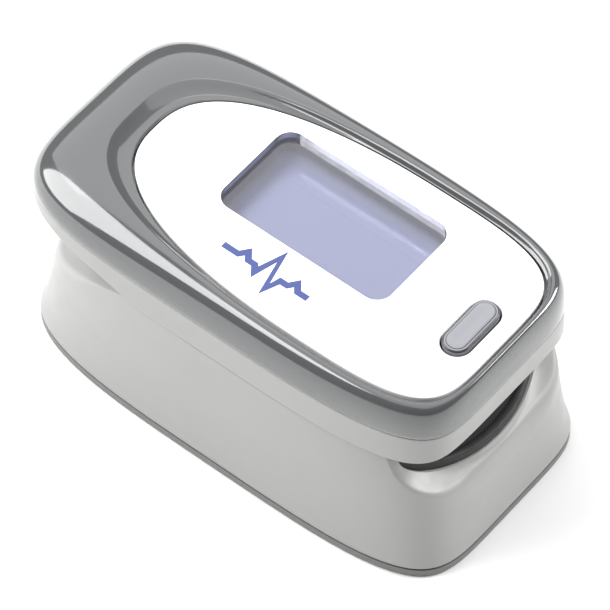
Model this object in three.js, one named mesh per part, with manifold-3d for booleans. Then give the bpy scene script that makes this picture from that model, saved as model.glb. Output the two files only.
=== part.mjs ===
// Fingertip pulse oximeter: two shells on a sprung hinge that close on a finger.
// Millimetres, +Z up. The origin is the middle of the base, on the surface it stands on.
// The finger goes in at -Y, the pinch grip is at +Y, and X runs across.
// The lower half stands still. The upper half, its push button and the battery door move.
import * as THREE from 'three';
import { mergeVertices } from 'three/addons/utils/BufferGeometryUtils.js';
import Module from 'manifold-3d';

const wasm = await Module();
wasm.setup();

// ---- driving dimensions ----
const gap = 0.3; // clearance between neighbouring pieces

// Outlines seen from above: half-width, front end, rear end, the line where the front and
// rear halves meet, and the power of each half across (x) and along (y).
const baseOutline = { half: 16.55, front: -30.1, rear: 29.9, mid: 0, x: [6.0, 5.3], y: [3.8, 3.4] };
const seamOutline = { half: 15.5, front: -28.4, rear: 27.8, mid: -1, x: [4.2, 3.6], y: [3.2, 2.6] };
const partingOutline = { half: 15.65, front: -28.75, rear: 30.1, mid: -2, x: [6.4, 4.9], y: [2.9, 4.9] };
const crestOutline = { half: 13.35, front: -27.8, rear: 23.6, mid: -9, x: [5.2, 3.2], y: [3.7, 2.3] };
const panelOutline = { half: 12.6, front: -27.15, rear: 20.4, mid: -9, x: [5.2, 2.6], y: [3.5, 2.16] };
const ringSteps = 44;

const stripTop = 1.2; // the dark base strip
const seamLow = 19.05; // top edge of the lower housing
const seamHigh = 19.35; // bottom edge of the upper housing
const partingLow = 23.75; // top edge of the upper housing
const partingHigh = 24.05; // bottom edge of the top cover
const crest = 28.4; // rim round the face panel
const panelTop = 28.05;
const panelThick = 1.0;
const ledgeBottom = 25.75; // underside of the cover's web below the panel
const wall = 1.5; // shell wall
const coverFullness = 0.78; // 1 would make the cover's shoulder an ellipse, less makes it squarer

const pin = { y: 10.5, z: 17.6, radius: 0.9, length: 26.0 };
const opening = { x: 2.625, y: -2.45, width: 12.85, length: 23.1, corner: 2.0 }; // display window
const button = { y: -23.3, width: 8.1, depth: 3.3, top: 28.55 };
const cell = { radius: 5.25, length: 44.5, x: 5.55, z: 6.75, y: -0.55 };
const door = { half: 12.0, front: -26.0, thick: 1.1 };
const sensorY = -8; // emitter and detector face each other here
const channelEnd = 5; // the fingertip stops here
const boardTop = 23.3;
const boardThick = 0.8;
const screen = { x0: -5.4, x1: 10.6, y0: -15.2, y1: 11.2, thick: 0.65 };
const screenTop = boardTop + gap + screen.thick;
const upperScrews = [[-10.7, -20.5], [10.7, -20.5], [-13.2, 12.6], [13.2, 12.6]];
const upperSeat = (y) => (y > 0 ? 20.3 : 20.95); // underside of the screw's head
const lowerScrews = [[-14.0, -15.0], [14.0, -15.0], [-14.0, 15.0], [14.0, 15.0]];

// ---- materials ----
const plastic = (color, roughness, metalness = 0) =>
  new THREE.MeshStandardMaterial({ color, roughness, metalness });
const finish = {
  cover: plastic('#77797b', 0.25),
  shell: plastic('#bdbdbb', 0.4),
  panel: plastic('#fbfafc', 0.12),
  lens: plastic('#dfe3f2', 0.05),
  frame: plastic('#96969f', 0.5),
  screen: plastic('#b2b6d8', 0.15),
  button: plastic('#a7aab2', 0.2),
  strip: plastic('#6e6e6c', 0.5),
  rubber: plastic('#232325', 0.85),
  board: plastic('#1f5a3a', 0.5),
  steel: plastic('#b9bbbd', 0.3, 1),
  copper: plastic('#b87a35', 0.4, 0.6),
  jacket: plastic('#3d6f9e', 0.35),
  dark: plastic('#2d2d30', 0.4),
};

// ---- geometry helpers ----
// Distance from the hub (0, hubY) to an outline along a direction.
const hubY = -2;
function reach(shape, cos, sin) {
  let low = 0;
  let high = 60;
  for (let pass = 0; pass < 40; pass += 1) {
    const r = (low + high) / 2;
    const y = hubY + r * sin - shape.mid;
    const side = y < 0 ? 0 : 1;
    const span = side ? shape.rear - shape.mid : shape.mid - shape.front;
    const level = Math.abs((r * cos) / shape.half) ** shape.x[side] + Math.abs(y / span) ** shape.y[side];
    if (level > 1) high = r;
    else low = r;
  }
  return low;
}

// Directions spread so that corners get more points than the long sides.
const directions = Array.from({ length: ringSteps }, (_, k) => {
  const turn = (2 * Math.PI * k) / ringSteps;
  const squash = (v, power) => Math.sign(v) * Math.abs(v) ** power;
  const angle = Math.atan2(29.4 * squash(Math.sin(turn), 0.75), 15.7 * squash(Math.cos(turn), 0.7));
  return [Math.cos(angle), Math.sin(angle)];
});

const inset = (shape, d) => ({
  ...shape, half: shape.half - d, front: shape.front + d, rear: shape.rear - d,
});

function ring(shape, z) {
  return directions.map(([cos, sin]) => {
    const r = reach(shape, cos, sin);
    return new THREE.Vector3(r * cos, hubY + r * sin, z);
  });
}

// A ring part of the way from one outline to another.
function between(shapeA, shapeB, share, z) {
  return directions.map(([cos, sin]) => {
    const r = THREE.MathUtils.lerp(reach(shapeA, cos, sin), reach(shapeB, cos, sin), share);
    return new THREE.Vector3(r * cos, hubY + r * sin, z);
  });
}

// Closed body through rings of equal count, from the bottom up. Each end is closed by a fan
// from its middle, or by a strip across it where the ring is a bent band.
function loft(rings, band = false) {
  const count = rings[0].length;
  const points = rings.flat();
  const faces = [];
  for (let level = 0; level + 1 < rings.length; level += 1) {
    for (let k = 0; k < count; k += 1) {
      const a = level * count + k;
      const b = level * count + ((k + 1) % count);
      faces.push(a, b, b + count, a, b + count, a + count);
    }
  }
  [0, rings.length - 1].forEach((level) => {
    const first = level * count;
    const flip = level === 0;
    const add = (a, b, c) => faces.push(...(flip ? [a, c, b] : [a, b, c]));
    if (band) {
      for (let k = 0; k < count / 2 - 1; k += 1) {
        const [a, b, c, d] = [k, k + 1, count - 2 - k, count - 1 - k].map((i) => first + i);
        add(a, b, c);
        add(a, c, d);
      }
    } else {
      const centre = rings[level].reduce((sum, p) => sum.add(p), new THREE.Vector3());
      points.push(centre.divideScalar(count));
      for (let k = 0; k < count; k += 1) add(points.length - 1, first + k, first + ((k + 1) % count));
    }
  });
  // Rings may run either way round, so the faces are turned outward by the sign of the volume.
  let volume = 0;
  for (let k = 0; k < faces.length; k += 3) {
    const [a, b, c] = [points[faces[k]], points[faces[k + 1]], points[faces[k + 2]]];
    volume += a.dot(b.clone().cross(c));
  }
  if (volume < 0) faces.reverse();
  const geometry = new THREE.BufferGeometry();
  geometry.setAttribute('position', new THREE.Float32BufferAttribute(points.flatMap((p) => p.toArray()), 3));
  geometry.setIndex(faces);
  return geometry;
}

// A closed geometry as a solid that can be joined and cut.
function solid(geometry, matrix) {
  const bare = geometry.clone();
  bare.deleteAttribute('normal');
  bare.deleteAttribute('uv');
  if (matrix) bare.applyMatrix4(matrix);
  const merged = mergeVertices(bare, 1e-4);
  return new wasm.Manifold(new wasm.Mesh({
    numProp: 3,
    vertProperties: new Float32Array(merged.attributes.position.array),
    triVerts: new Uint32Array(merged.index.array),
  }));
}

const at = (x, y, z) => new THREE.Matrix4().makeTranslation(x, y, z);

function box(x0, x1, y0, y1, z0, z1) {
  const middle = at((x0 + x1) / 2, (y0 + y1) / 2, (z0 + z1) / 2);
  return solid(new THREE.BoxGeometry(x1 - x0, y1 - y0, z1 - z0), middle);
}

// Upright cylinder, and one that lies along X.
function post(x, y, z0, z1, radius, steps = 16) {
  const upright = new THREE.Matrix4().makeRotationX(Math.PI / 2);
  return solid(new THREE.CylinderGeometry(radius, radius, z1 - z0, steps),
    at(x, y, (z0 + z1) / 2).multiply(upright));
}
function rod(x0, x1, y, z, radius, steps = 16) {
  const lying = new THREE.Matrix4().makeRotationZ(Math.PI / 2);
  return solid(new THREE.CylinderGeometry(radius, radius, x1 - x0, steps),
    at((x0 + x1) / 2, y, z).multiply(lying));
}

// A flat shape stood on z0 and raised to z1.
function plate(shape, z0, z1, curveSegments = 5) {
  return solid(new THREE.ExtrudeGeometry(shape, { depth: z1 - z0, bevelEnabled: false, curveSegments }),
    at(0, 0, z0));
}

// A profile in the Y-Z plane, carried across from x0 to x1.
function slab(points, x0, x1) {
  const across = new THREE.Matrix4().makeBasis(
    new THREE.Vector3(0, 1, 0), new THREE.Vector3(0, 0, 1), new THREE.Vector3(1, 0, 0));
  const shape = new THREE.Shape(points.map(([y, z]) => new THREE.Vector2(y, z)));
  const geometry = new THREE.ExtrudeGeometry(shape, { depth: x1 - x0, bevelEnabled: false });
  return solid(geometry, at(x0, 0, 0).multiply(across));
}

// Rectangle with round corners, centred on (x, y).
function roundedRect(x, y, width, length, corner) {
  const [w, h] = [width / 2, length / 2];
  const shape = new THREE.Shape();
  shape.absarc(x + w - corner, y - h + corner, corner, -Math.PI / 2, 0);
  shape.absarc(x + w - corner, y + h - corner, corner, 0, Math.PI / 2);
  shape.absarc(x - w + corner, y + h - corner, corner, Math.PI / 2, Math.PI);
  shape.absarc(x - w + corner, y - h + corner, corner, Math.PI, 1.5 * Math.PI);
  return shape;
}

const group = new THREE.Group();
function piece(name, body, material, parent = group) {
  let geometry = body;
  if (body.getMesh) {
    const out = body.getMesh();
    geometry = new THREE.BufferGeometry();
    geometry.setAttribute('position', new THREE.BufferAttribute(out.vertProperties, 3));
    geometry.setIndex(new THREE.BufferAttribute(out.triVerts, 1));
    geometry.computeVertexNormals();
  }
  const mesh = new THREE.Mesh(geometry, material);
  mesh.name = name;
  parent.add(mesh);
  return mesh;
}

// ---- shapes that several pieces share ----
// A trough's section: half of a superellipse hanging from z = top (sign -1) or standing on it (+1).
function arch(y, half, depth, top, sign, steps, bow = 0) {
  return Array.from({ length: steps + 1 }, (_, k) => {
    const turn = (Math.PI * k) / steps;
    const x = -half * Math.sign(Math.cos(turn)) * Math.abs(Math.cos(turn)) ** 0.7;
    const z = top + sign * depth * Math.sin(turn) ** 0.62;
    return new THREE.Vector3(x, y + bow * x * x, z);
  });
}

// Solid that fills a trough between sections, used to cut a finger channel into a shell.
// It reaches past the seam by a margin so that the cut is clean.
function channelCut(sections, sign, margin = 2) {
  const rings = sections.map(({ y, half, depth, bow = 0 }) => {
    const curve = arch(y, half, depth, sign < 0 ? seamLow : seamHigh, sign, 16, bow);
    const lift = (p) => new THREE.Vector3(p.x, p.y, p.z - sign * margin);
    return [lift(curve[0]), ...curve, lift(curve[curve.length - 1])];
  });
  return solid(loft(rings));
}

// A rubber liner: the outer arch of each section, then the inner one back again.
function liner(sections, sign, thick) {
  const rings = sections.map(({ y, half, depth, bow = 0 }) => {
    const top = sign < 0 ? seamLow : seamHigh;
    const outer = arch(y, half, depth, top, sign, 16, bow);
    const inner = arch(y, half - thick, depth - thick, top, sign, 16, bow);
    return [...outer, ...inner.reverse()];
  });
  return solid(loft(rings, true));
}

// Finger channel of each half, as seen at the shell. The liners lie a gap inside it.
const lowerMouth = [
  { y: -38.0, half: 26.0, depth: 16.5 },
  { y: -29.3, half: 13.6, depth: 7.6, bow: 0.032 },
];
const lowerChannel = [
  { y: -27.6, half: 12.3, depth: 6.6, bow: 0.03 },
  { y: -24.6, half: 12.6, depth: 6.0, bow: 0.02 },
  { y: -21.0, half: 12.8, depth: 5.7, bow: 0.01 },
  { y: -14.0, half: 12.9, depth: 5.6 },
  { y: channelEnd, half: 12.9, depth: 5.6 },
];
const upperMouth = [
  { y: -31.0, half: 12.4, depth: 1.1 },
  { y: -27.9, half: 12.2, depth: 1.1, bow: 0.03 },
];
const upperChannel = [
  { y: -27.2, half: 12.0, depth: 1.9, bow: 0.03 },
  { y: -24.0, half: 12.3, depth: 2.0, bow: 0.02 },
  { y: -20.5, half: 12.7, depth: 2.1, bow: 0.01 },
  { y: -14.0, half: 12.9, depth: 2.15 },
  { y: channelEnd, half: 12.9, depth: 2.15 },
];
const shrinkSections = (sections) => sections.map((s, k) => ({
  ...s,
  half: s.half - gap,
  depth: s.depth - gap,
  y: k === sections.length - 1 ? s.y - gap : s.y + gap,
}));

// Top edge of the lower housing behind the hinge, and bottom edge of the upper one: a notch
// that opens to the rear, so that the ends can be pinched together.
const lowerNotch = [[9, 19.05], [11, 18.95], [12.6, 18.55], [14.2, 17.85], [16.4, 16.75],
  [19.6, 15.1], [22, 13.8], [25, 12.35], [28, 11.2], [32, 10.2]];
const upperNotch = [[9.5, 19.35], [11.5, 19.55], [14.6, 20.3], [17, 20.8], [20, 21.15], [23, 21.6],
  [27, 22.2], [32, 22.6]];

// ---- lower half ----
const lowerPart = new THREE.Group();
const upperPart = new THREE.Group();
group.add(lowerPart, upperPart);

function lowerHousing() {
  const heights = [stripTop + gap, 3.5, 8, 13.5, seamLow];
  const shares = [0, 0.2, 0.47, 0.7, 1];
  let body = solid(loft(heights.map((z, k) => between(baseOutline, seamOutline, shares[k], z))));
  body = body.subtract(slab([...lowerNotch, [32, 24], [9, 24]], -20, 20));
  // The finger channel and the flared mouth in front of it.
  body = body.subtract(channelCut([...lowerMouth, ...lowerChannel], -1, 5));
  // Room for the two cells, open underneath.
  body = body.subtract(box(-11.4, 11.4, -22.8, 22.9, 0, 12.1));
  body = body.subtract(box(-9.8, 9.8, -26.5, -22.5, 0, 10.3));
  // Hinge room, and the blind holes that hold the pin.
  body = body.subtract(box(-11.3, 11.3, channelEnd + 1.3, 14.4, 13.3, 24));
  body = body.subtract(rod(-pin.length / 2 - gap, pin.length / 2 + gap, pin.y, pin.z, pin.radius + 0.25));
  // Seat of the detector, and the groove of the ribbon that leaves it.
  body = body.subtract(box(-4.0, 4.0, sensorY - 3.6, sensorY + 3.6, 12.75, 15));
  body = body.subtract(box(-2.4, 2.4, sensorY, channelEnd + 2, 12.75, 15));
  lowerScrews.forEach(([x, y]) => {
    body = body.subtract(post(x, y, 0, 7.4, 1.05, 12));
  });
  return body;
}

// The base strip's outline with the door's way out cut from its middle.
function bottomCover() {
  let body = solid(loft([ring(inset(baseOutline, 0.25), 0), ring(inset(baseOutline, 0), 0.25),
    ring(baseOutline, stripTop)]));
  body = body.subtract(box(-door.half - gap, door.half + gap, door.front - gap, 40, -1, 3));
  lowerScrews.forEach(([x, y]) => {
    body = body.subtract(post(x, y, -1, 0.85, 1.65, 12));
    body = body.subtract(post(x, y, -1, 3, 1.05, 12));
  });
  return body;
}

function batteryDoor() {
  let body = solid(loft([ring(inset(baseOutline, 0.25), 0), ring(baseOutline, 0.25),
    ring(baseOutline, door.thick)]));
  body = body.intersect(box(-door.half, door.half, door.front, 40, -1, 3));
  const ribs = 7;
  for (let k = 0; k < ribs; k += 1) {
    body = body.subtract(box(-5, 5, 16 + 1.5 * k, 16.7 + 1.5 * k, -1, 0.45));
  }
  return body;
}

function battery(side) {
  // The cells point opposite ways.
  const turn = new THREE.Matrix4().makeRotationZ(side < 0 ? Math.PI : 0);
  const r = cell.radius;
  const half = cell.length / 2;
  // Lathe profile from the flat end to the button at the positive end.
  const profile = [[0, -half], [r - 0.4, -half], [r, -half + 0.5], [r, half - 1.6], [r - 0.5, half - 1.0],
    [1.9, half - 1.0], [1.9, half], [0, half]].map(([x, y]) => new THREE.Vector2(x, y));
  const geometry = new THREE.LatheGeometry(profile, 16);
  const mesh = piece(`battery_${side < 0 ? 'left' : 'right'}`, solid(geometry), finish.jacket, lowerPart);
  mesh.applyMatrix4(at(side * cell.x, cell.y, cell.z).multiply(turn));
}

// Round wire along a smooth curve through points.
function wire(points, radius, steps, sides = 6) {
  const section = new THREE.Shape();
  section.absarc(0, 0, radius, 0, 2 * Math.PI);
  return new THREE.ExtrudeGeometry(section, {
    extrudePath: new THREE.CatmullRomCurve3(points), steps, curveSegments: sides, bevelEnabled: false,
  });
}

function torsionSpring(side) {
  const coil = { radius: 2.1, wire: 0.35, turns: 4, from: 3.2, to: 6.9 };
  const points = [];
  // Lower leg: lies against the lower housing behind the pin.
  points.push(new THREE.Vector3(side * coil.from, pin.y + 3.0, 14.1));
  points.push(new THREE.Vector3(side * coil.from, pin.y + 2.4, 15.9));
  const start = -0.1;
  const perTurn = 9;
  for (let k = 0; k <= coil.turns * perTurn; k += 1) {
    const turn = start * Math.PI + (2 * Math.PI * k) / perTurn;
    const x = THREE.MathUtils.lerp(coil.from, coil.to, k / (coil.turns * perTurn));
    const y = pin.y + coil.radius * Math.cos(turn);
    points.push(new THREE.Vector3(side * x, y, pin.z + coil.radius * Math.sin(turn)));
  }
  // Upper leg: lies under the upper housing's floor behind the pin.
  points.push(new THREE.Vector3(side * coil.to, pin.y + 3.2, pin.z + 2.0));
  points.push(new THREE.Vector3(side * coil.to, pin.y + 4.6, pin.z + 2.9));
  const name = `torsion_spring_${side < 0 ? 'left' : 'right'}`;
  piece(name, wire(points, coil.wire, 64, 2), finish.steel, lowerPart);
}

// Conical wire spring that stands on y and narrows towards the cell, rise away along Y.
function contactSpring(name, x, y, rise) {
  const turns = 3;
  const perTurn = 8;
  const points = Array.from({ length: turns * perTurn + 1 }, (_, k) => {
    const share = k / (turns * perTurn);
    const radius = THREE.MathUtils.lerp(3.0, 1.5, share);
    const turn = (2 * Math.PI * k) / perTurn;
    return new THREE.Vector3(
      x + radius * Math.cos(turn), y + rise * share, cell.z + radius * Math.sin(turn));
  });
  piece(name, wire(points, 0.25, 34, 2), finish.steel, lowerPart);
}

function contactPlate(name, x, y) {
  piece(name, box(x - 3.6, x + 3.6, y - 0.2, y + 0.2, cell.z - 3.4, cell.z + 3.4), finish.steel, lowerPart);
}

function screw(name, x, y, seat, length, parent) {
  // Pan head underneath, shank upward, with a cross recess.
  const head = { radius: 1.35, height: 0.6 };
  const profile = [[0, 0], [head.radius, 0], [head.radius, head.height], [0.7, head.height],
    [0.7, length], [0, length]].map(([r, z]) => new THREE.Vector2(r, z));
  const upright = new THREE.Matrix4().makeRotationX(Math.PI / 2);
  let body = solid(new THREE.LatheGeometry(profile, 8), upright);
  body = body.subtract(box(-0.75, 0.75, -0.14, 0.14, -1, 0.35));
  body = body.subtract(box(-0.14, 0.14, -0.75, 0.75, -1, 0.35));
  piece(name, body, finish.steel, parent).position.set(x, y, seat);
}

piece('lower_housing', lowerHousing(), finish.shell, lowerPart);
piece('bottom_cover', bottomCover(), finish.strip, lowerPart);
piece('battery_door', batteryDoor(), finish.strip, group);

const detectorHole = box(-3.8, 3.8, sensorY - 3.3, sensorY + 3.3, 12, 16);
piece('lower_finger_pad', liner(shrinkSections(lowerChannel), -1, 0.9).subtract(detectorHole)
  .subtract(box(-2.4, 2.4, sensorY, channelEnd + 2, 12, 13.72)), finish.rubber, lowerPart);
piece('detector', box(-3.4, 3.4, sensorY - 3.0, sensorY + 3.0, 13.0, 13.4)
  .add(box(-1.6, 1.6, sensorY - 1.6, sensorY + 1.6, 13.3, 14.0)), finish.board, lowerPart);
piece('detector_window', box(-3.5, 3.5, sensorY - 3.0, sensorY + 3.0, 14.2, 14.55), finish.lens, lowerPart);
[-1, 1].forEach(battery);
const cellEnd = cell.length / 2 + gap;
contactPlate('contact_plate_front', cell.x, cell.y - cellEnd - 0.3);
contactPlate('contact_plate_rear', -cell.x, cell.y + cellEnd + 0.3);
contactSpring('contact_spring_front', -cell.x, cell.y - cellEnd - 2.8, 2.4);
contactSpring('contact_spring_rear', cell.x, cell.y + cellEnd + 0.55, -0.24);
piece('hinge_pin', rod(-pin.length / 2, pin.length / 2, pin.y, pin.z, pin.radius), finish.steel, lowerPart);
[-1, 1].forEach(torsionSpring);
lowerScrews.forEach(([x, y], k) => screw(`lower_screw_${k + 1}`, x, y, 0.15, 6.8, lowerPart));

// ---- upper half ----
function upperHousing() {
  let body = solid(loft([seamHigh, 21.5, partingLow].map((z) => ring(partingOutline, z))));
  body = body.subtract(slab([...upperNotch.slice().reverse(), [9.5, 10], [32, 10]].reverse(), -20, 20));
  // The finger channel and the low arch over its mouth.
  body = body.subtract(channelCut([...upperMouth, ...upperChannel], 1, 3));
  // Electronics bay, open to the cover.
  const bay = inset({ ...partingOutline, rear: 25.5 }, wall);
  body = body.subtract(solid(loft([ring(bay, 22.3), ring(bay, 25)])));
  // Hinge room below the bay, and the lugs that ride on the pin.
  body = body.subtract(box(-11.0, 11.0, channelEnd + 1.3, 15.6, 16, 21.5));
  [-1, 1].forEach((side) => {
    const [x0, x1] = side < 0 ? [-10.4, -8.6] : [8.6, 10.4];
    body = body.add(box(x0, x1, pin.y - 2.0, pin.y + 2.0, pin.z, 21.9)).add(rod(x0, x1, pin.y, pin.z, 2.0));
  });
  body = body.subtract(rod(-11, 11, pin.y, pin.z, pin.radius + 0.25));
  // Emitter hole and ribbon slot through the floor.
  body = body.subtract(box(-3.0, 3.0, sensorY - 2.6, sensorY + 2.6, 20, 23));
  body = body.subtract(box(-2.4, 2.4, channelEnd + 1.6, channelEnd + 3.0, 20, 23));
  upperScrews.forEach(([x, y]) => {
    body = body.subtract(post(x, y, 15, upperSeat(y) + 0.65, 1.65, 12));
    body = body.subtract(post(x, y, 15, 25, 1.05, 12));
  });
  return body;
}

function topCover() {
  const rings = [];
  const rise = crest - partingHigh;
  const levels = 6;
  for (let k = 0; k <= levels; k += 1) {
    const turn = (k / levels) * (Math.PI / 2);
    const share = 1 - Math.abs(Math.cos(turn)) ** coverFullness;
    const z = partingHigh + rise * Math.sin(turn) ** coverFullness;
    rings.push(between(partingOutline, crestOutline, share, z));
  }
  let body = solid(loft(rings));
  const pocket = inset(panelOutline, -gap);
  const lip = inset(crestOutline, 0.12);
  const floor = panelTop - panelThick - gap;
  const dish = [ring(pocket, floor), ring(pocket, 27.8), ring(lip, crest), ring(lip, 30)];
  body = body.subtract(solid(loft(dish)));
  // Hollow underneath, then the bosses for the screws.
  const hollow = inset(partingOutline, wall);
  const roof = inset({ ...crestOutline, rear: 24.5, half: 14 }, 0.8);
  body = body.subtract(solid(loft([ring(hollow, 22), ring(hollow, 24.4), ring(roof, ledgeBottom)])));
  upperScrews.forEach(([x, y]) => {
    body = body.add(post(x, y, partingHigh, ledgeBottom + 0.3, 1.9, 12));
    body = body.subtract(post(x, y, 20, ledgeBottom + 0.1, 1.0, 12));
  });
  body = body.subtract(plate(windowShape(1.3), 20, 32));
  body = body.subtract(plate(buttonShape(gap), 20, 32));
  return body;
}

// Outlines of the display window and of the button, made wider by an allowance on every side.
function windowShape(extra) {
  return roundedRect(opening.x, opening.y, opening.width + 2 * extra, opening.length + 2 * extra,
    opening.corner + extra);
}
function buttonShape(extra) {
  return roundedRect(0, button.y, button.width + 2 * extra, button.depth + 2 * extra,
    button.depth / 2 + extra - 0.001);
}

function facePanel() {
  const low = panelTop - panelThick;
  return solid(loft([ring(panelOutline, low), ring(panelOutline, panelTop)]))
    .subtract(plate(windowShape(0), 20, 32))
    .subtract(plate(buttonShape(gap), 20, 32));
}

// Surround between the screen and the window: a foot that overlaps the screen, then an upright wall.
function displayFrame() {
  const foot = screenTop + gap;
  return plate(windowShape(1.0), foot, panelTop - panelThick - gap)
    .subtract(plate(windowShape(0), foot + 0.4, 32))
    .subtract(plate(windowShape(-1.0), 20, 32));
}

function mainBoard() {
  const low = boardTop - boardThick;
  let body = box(-10.2, 10.2, -25.2, 14.5, low, boardTop);
  upperScrews.forEach(([x, y]) => {
    body = body.subtract(post(x, y, 20, 26, 2.3, 12));
  });
  return body.subtract(box(-2.6, 2.6, channelEnd + 0.6, channelEnd + 3.2, 20, 26));
}

piece('upper_housing', upperHousing(), finish.shell, upperPart);
piece('top_cover', topCover(), finish.cover, upperPart);
piece('face_panel', facePanel(), finish.panel, upperPart);
const clearWindow = plate(windowShape(-gap), panelTop - panelThick + 0.1, panelTop);
piece('display_window', clearWindow, finish.lens, upperPart);
piece('display_frame', displayFrame(), finish.frame, upperPart);
const { x0, x1, y0, y1, thick } = screen;
piece('display_screen', box(x0, x1, y0, y1, screenTop - thick, screenTop), finish.screen, upperPart);
piece('main_board', mainBoard(), finish.board, upperPart);
piece('button_switch', box(-2.2, 2.2, button.y - 1.7, button.y + 1.7, 23.6, 24.1)
  .add(post(0, button.y, 24.0, 24.5, 0.9)), finish.dark, upperPart);
piece('emitter', box(-2.6, 2.6, sensorY - 2.2, sensorY + 2.2, 21.5, 22.2)
  .add(box(-1.4, 1.4, sensorY - 1.4, sensorY + 1.4, 21.3, 21.6)), finish.lens, upperPart);
const emitterHole = box(-3.8, 3.8, sensorY - 3.3, sensorY + 3.3, 20, 22);
const upperLiner = liner(shrinkSections(upperChannel), 1, 0.8).subtract(emitterHole);
piece('upper_finger_pad', upperLiner, finish.rubber, upperPart);
piece('emitter_window', box(-3.5, 3.5, sensorY - 3.0, sensorY + 3.0, 20.55, 20.95), finish.lens, upperPart);
upperScrews.forEach(([x, y], k) => screw(`upper_screw_${k + 1}`, x, y, upperSeat(y), 4.6, upperPart));

// The push button: a capsule cap with a flange under the cover's web.
piece('power_button', plate(buttonShape(0), 25.2, button.top).add(plate(buttonShape(0.8), 24.9, 25.4)),
  finish.button, group);

// Ribbon from the detector to the main board, past the front of the hinge pin.
function flexCable() {
  const route = [[sensorY + 3.4, 13.1], [0, 13.1], [5.0, 13.15], [7.0, 14.6], [7.5, 17.5], [7.5, 20.5],
    [7.5, 22.1]];
  const path = new THREE.CatmullRomCurve3(route.map(([y, z]) => new THREE.Vector3(0, y, z)));
  const section = new THREE.Shape([[-1.9, -0.12], [1.9, -0.12], [1.9, 0.12], [-1.9, 0.12]]
    .map(([x, y]) => new THREE.Vector2(x, y)));
  return new THREE.ExtrudeGeometry(section, { extrudePath: path, steps: 24, bevelEnabled: false });
}
piece('flex_cable', flexCable(), finish.copper, lowerPart);

export default group;
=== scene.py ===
"""Fingertip pulse oximeter: the looks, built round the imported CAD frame.

Lengths in this script are millimetres and become metres where a mesh or light is made.
X runs across, the finger goes in at -Y, the pinch grip is at +Y and Z is up.
"""
import math

import bmesh
import bpy
import numpy as np
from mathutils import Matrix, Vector


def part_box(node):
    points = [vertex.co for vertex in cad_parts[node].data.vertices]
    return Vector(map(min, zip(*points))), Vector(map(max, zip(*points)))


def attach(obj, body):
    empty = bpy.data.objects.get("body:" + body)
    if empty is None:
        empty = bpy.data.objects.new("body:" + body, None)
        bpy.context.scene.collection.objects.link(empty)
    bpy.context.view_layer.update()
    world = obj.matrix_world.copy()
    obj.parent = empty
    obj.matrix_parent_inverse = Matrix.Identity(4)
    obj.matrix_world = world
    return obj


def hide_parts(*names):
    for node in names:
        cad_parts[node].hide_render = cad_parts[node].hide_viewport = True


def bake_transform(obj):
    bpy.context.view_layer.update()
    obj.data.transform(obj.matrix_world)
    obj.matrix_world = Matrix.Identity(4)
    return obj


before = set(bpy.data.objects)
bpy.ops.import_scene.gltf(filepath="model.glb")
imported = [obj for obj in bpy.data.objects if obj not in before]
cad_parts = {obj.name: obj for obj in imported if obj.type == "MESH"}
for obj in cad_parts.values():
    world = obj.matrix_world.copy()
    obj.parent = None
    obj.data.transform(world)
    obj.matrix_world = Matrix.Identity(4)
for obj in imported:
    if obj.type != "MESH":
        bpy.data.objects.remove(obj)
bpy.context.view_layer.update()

MM = 0.001

# ---- driving dimensions, the same as the CAD's ----
GAP = 0.3
HUB_Y = -2.0
COLUMNS = 288
BASE = {"half": 16.55, "front": -30.1, "rear": 29.9, "mid": 0, "x": (6.0, 5.3), "y": (3.8, 3.4)}
SEAM = {"half": 15.5, "front": -28.4, "rear": 27.8, "mid": -1, "x": (4.2, 3.6), "y": (3.2, 2.6)}
PARTING = {"half": 15.65, "front": -28.75, "rear": 30.1, "mid": -2, "x": (6.4, 4.9), "y": (2.9, 4.9)}
CREST = {"half": 13.35, "front": -27.8, "rear": 23.6, "mid": -9, "x": (5.2, 3.2), "y": (3.7, 2.3)}
PANEL = {"half": 12.6, "front": -27.15, "rear": 20.4, "mid": -9, "x": (5.2, 2.6), "y": (3.5, 2.16)}

STRIP_TOP = 1.2
SHELL_BOTTOM = 1.42
SEAM_LOW = 19.12  # top of the lower shell, a hair under the upper one
SEAM_HIGH = 19.2
PARTING_LOW = 23.82
PARTING_HIGH = 23.9
CREST_Z = 28.4
PANEL_TOP = 28.05
PANEL_THICK = 1.0
WEB_BOTTOM = 25.75
WALL = 1.5
COVER_FULLNESS = 0.78  # 1 would make the cover's shoulder an ellipse, less makes it squarer
PIN_Y, PIN_Z, PIN_RADIUS, PIN_LENGTH = 10.5, 17.6, 0.9, 26.0
SENSOR_Y = -8.0
CHANNEL_END = 5.0
WINDOW = {"x": 2.625, "y": -2.45, "width": 12.85, "length": 23.1, "corner": 2.0}
BUTTON = {"x": 0.0, "y": -23.3, "width": 8.1, "length": 3.3, "corner": 1.649}
BUTTON_TOP = 28.55
DOOR_HALF, DOOR_FRONT, DOOR_THICK = 12.0, -26.0, 1.1
# Each screw's x, y and the height of its seat.
UPPER_SCREWS = [(-10.7, -20.5, 20.95), (10.7, -20.5, 20.95), (-13.2, 12.6, 20.3), (13.2, 12.6, 20.3)]
LOWER_SCREWS = [(-14.0, -15.0, 0.15), (14.0, -15.0, 0.15), (-14.0, 15.0, 0.15), (14.0, 15.0, 0.15)]
SCREW_BORE = 1.05
PIN_BORE = PIN_RADIUS + 0.15
LOWER_NOTCH = ([9, 11, 12.6, 14.2, 16.4, 19.6, 22, 25, 28, 32],
               [SEAM_LOW, 18.95, 18.55, 17.85, 16.75, 15.1, 13.8, 12.35, 11.2, 10.2])
UPPER_NOTCH = ([9.5, 11.5, 14.6, 17, 20, 23, 27, 32],
               [SEAM_HIGH, 19.45, 20.3, 20.8, 21.15, 21.6, 22.2, 22.6])
SCOOP_HALF, SCOOP_DEPTH, SCOOP_POWER = 13.35, 8.5, 4.5  # crease of the mouth on the lower shell's wall
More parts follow.
